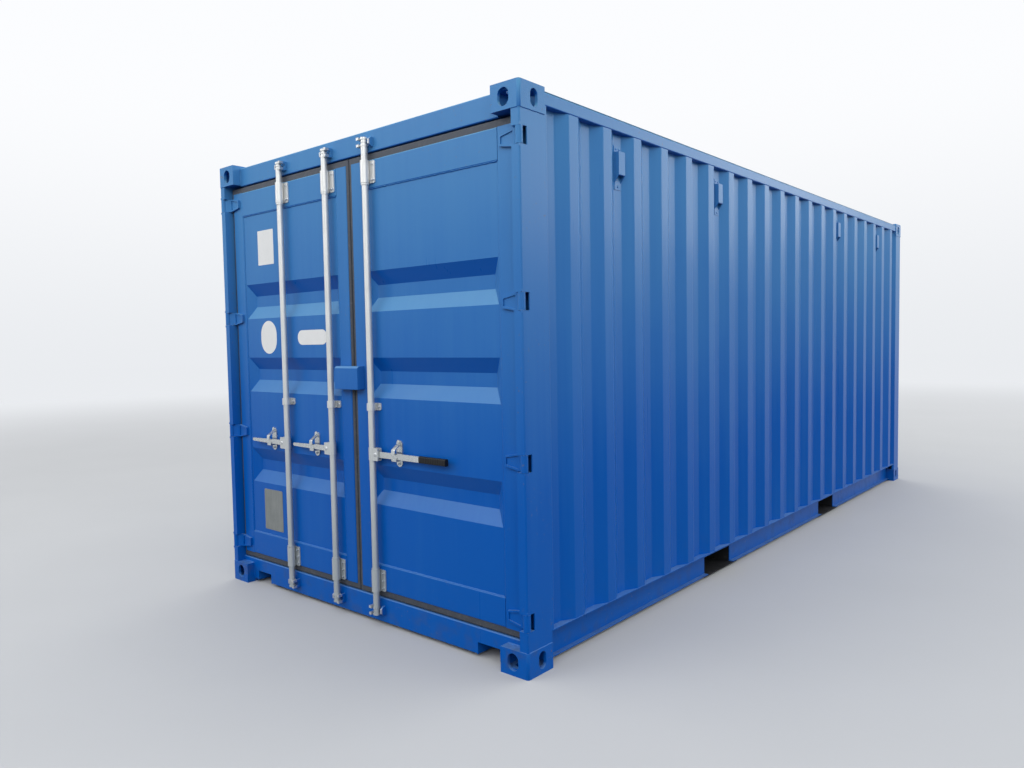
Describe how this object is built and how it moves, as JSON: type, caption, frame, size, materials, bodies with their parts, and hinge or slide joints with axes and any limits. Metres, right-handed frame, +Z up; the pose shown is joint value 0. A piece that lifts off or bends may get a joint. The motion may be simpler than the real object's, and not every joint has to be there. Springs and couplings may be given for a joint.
{
  "type": "shipping container",
  "caption": "Steel shipping container with corrugated walls, corner castings and double doors closed by lock rods, cams and lifting handles; carries cargo by ship, rail and road.",
  "frame": {"origin": "centre of the footprint, on the ground", "axes": "+Z up, +Y from the door end to the front end, +X to the right when facing the doors"},
  "size_m": [2.438, 6.058, 2.591],
  "materials": {
    "blue_paint": "satin marine paint",
    "galvanised_steel": "hot-dip galvanised",
    "gasket_rubber": "matt",
    "plywood": "oiled",
    "grip_plastic": "moulded"
  },
  "bodies": {
    "frame": {"bottom_corner_castings": "blue_paint", "bottom_side_rail_left": "blue_paint", "bottom_side_rail_right": "blue_paint", "cam_keepers": "blue_paint", "door_header": "blue_paint", "door_sill": "blue_paint", "floor_boards": "plywood", "floor_crossmembers": "blue_paint", "forklift_pockets": "blue_paint", "front_bottom_rail": "blue_paint", "front_post_left": "blue_paint", "front_post_right": "blue_paint", "front_top_rail": "blue_paint", "front_wall": "blue_paint", "hinge_pins": "galvanised_steel", "rear_post_left": "blue_paint", "rear_post_right": "blue_paint", "roof_panel": "blue_paint", "side_wall_left": "blue_paint", "side_wall_right": "blue_paint", "threshold_plate": "blue_paint", "top_corner_castings": "blue_paint", "top_side_rail_left": "blue_paint", "top_side_rail_right": "blue_paint", "ventilators_left": "blue_paint", "ventilators_right": "blue_paint"},
    "left_door": {"left_door_stiles": "blue_paint", "left_door_rails": "blue_paint", "left_door_panel": "blue_paint", "left_door_gasket": "gasket_rubber", "left_door_hinges": "blue_paint", "left_rod_brackets": "galvanised_steel", "left_handle_retainers": "galvanised_steel"},
    "right_door": {"right_door_stiles": "blue_paint", "right_door_rails": "blue_paint", "right_door_panel": "blue_paint", "right_door_gasket": "gasket_rubber", "right_door_hinges": "blue_paint", "right_rod_brackets": "galvanised_steel", "right_handle_retainer": "galvanised_steel", "lock_box": "blue_paint"},
    "rod_outer": {"lock_rod_outer": "galvanised_steel"},
    "rod_middle": {"lock_rod_middle": "galvanised_steel"},
    "rod_right": {"lock_rod_right": "galvanised_steel"},
    "handle_outer": {"lock_handle_outer": "galvanised_steel"},
    "handle_middle": {"lock_handle_middle": "galvanised_steel"},
    "handle_right": {"lock_handle_right": "galvanised_steel", "handle_grip": "grip_plastic"},
    "hasp_outer": {"handle_hasp_outer": "galvanised_steel"},
    "hasp_middle": {"handle_hasp_middle": "galvanised_steel"},
    "hasp_right": {"handle_hasp_right": "galvanised_steel"}
  },
  "joints": [
    {"name": "right_door_hinge", "type": "hinge", "parent": "frame", "child": "right_door", "pos_m": [1.202, -3.012, 1.3], "axis": [0, 0, 1], "range_deg": [0, 265]},
    {"name": "left_door_hinge", "type": "hinge", "parent": "frame", "child": "left_door", "pos_m": [-1.202, -3.012, 1.3], "axis": [0, 0, -1], "range_deg": [0, 265]},
    {"name": "outer_rod_turn", "type": "hinge", "parent": "left_door", "child": "rod_outer", "pos_m": [-0.601, -3.006, 1.3], "axis": [0, 0, -1], "range_deg": [-110, 0]},
    {"name": "outer_handle_lift", "type": "hinge", "parent": "rod_outer", "child": "handle_outer", "pos_m": [-0.641, -3.006, 0.914], "axis": [0, -1, 0], "range_deg": [-6, 0]},
    {"name": "outer_hasp_swing", "type": "hinge", "parent": "left_door", "child": "hasp_outer", "pos_m": [-0.781, -2.982, 0.983], "axis": [0, -1, 0], "range_deg": [-120, 0]},
    {"name": "middle_rod_turn", "type": "hinge", "parent": "left_door", "child": "rod_middle", "pos_m": [-0.17, -3.006, 1.3], "axis": [0, 0, -1], "range_deg": [-110, 0]},
    {"name": "middle_handle_lift", "type": "hinge", "parent": "rod_middle", "child": "handle_middle", "pos_m": [-0.21, -3.006, 0.914], "axis": [0, -1, 0], "range_deg": [-6, 0]},
    {"name": "middle_hasp_swing", "type": "hinge", "parent": "left_door", "child": "hasp_middle", "pos_m": [-0.35, -2.982, 0.983], "axis": [0, -1, 0], "range_deg": [-120, 0]},
    {"name": "right_rod_turn", "type": "hinge", "parent": "right_door", "child": "rod_right", "pos_m": [0.17, -3.006, 1.3], "axis": [0, 0, 1], "range_deg": [-110, 0]},
    {"name": "right_handle_lift", "type": "hinge", "parent": "rod_right", "child": "handle_right", "pos_m": [0.21, -3.006, 0.914], "axis": [0, 1, 0], "range_deg": [-6, 0]},
    {"name": "right_hasp_swing", "type": "hinge", "parent": "right_door", "child": "hasp_right", "pos_m": [0.35, -2.982, 0.983], "axis": [0, 1, 0], "range_deg": [-120, 0]}
  ]
}
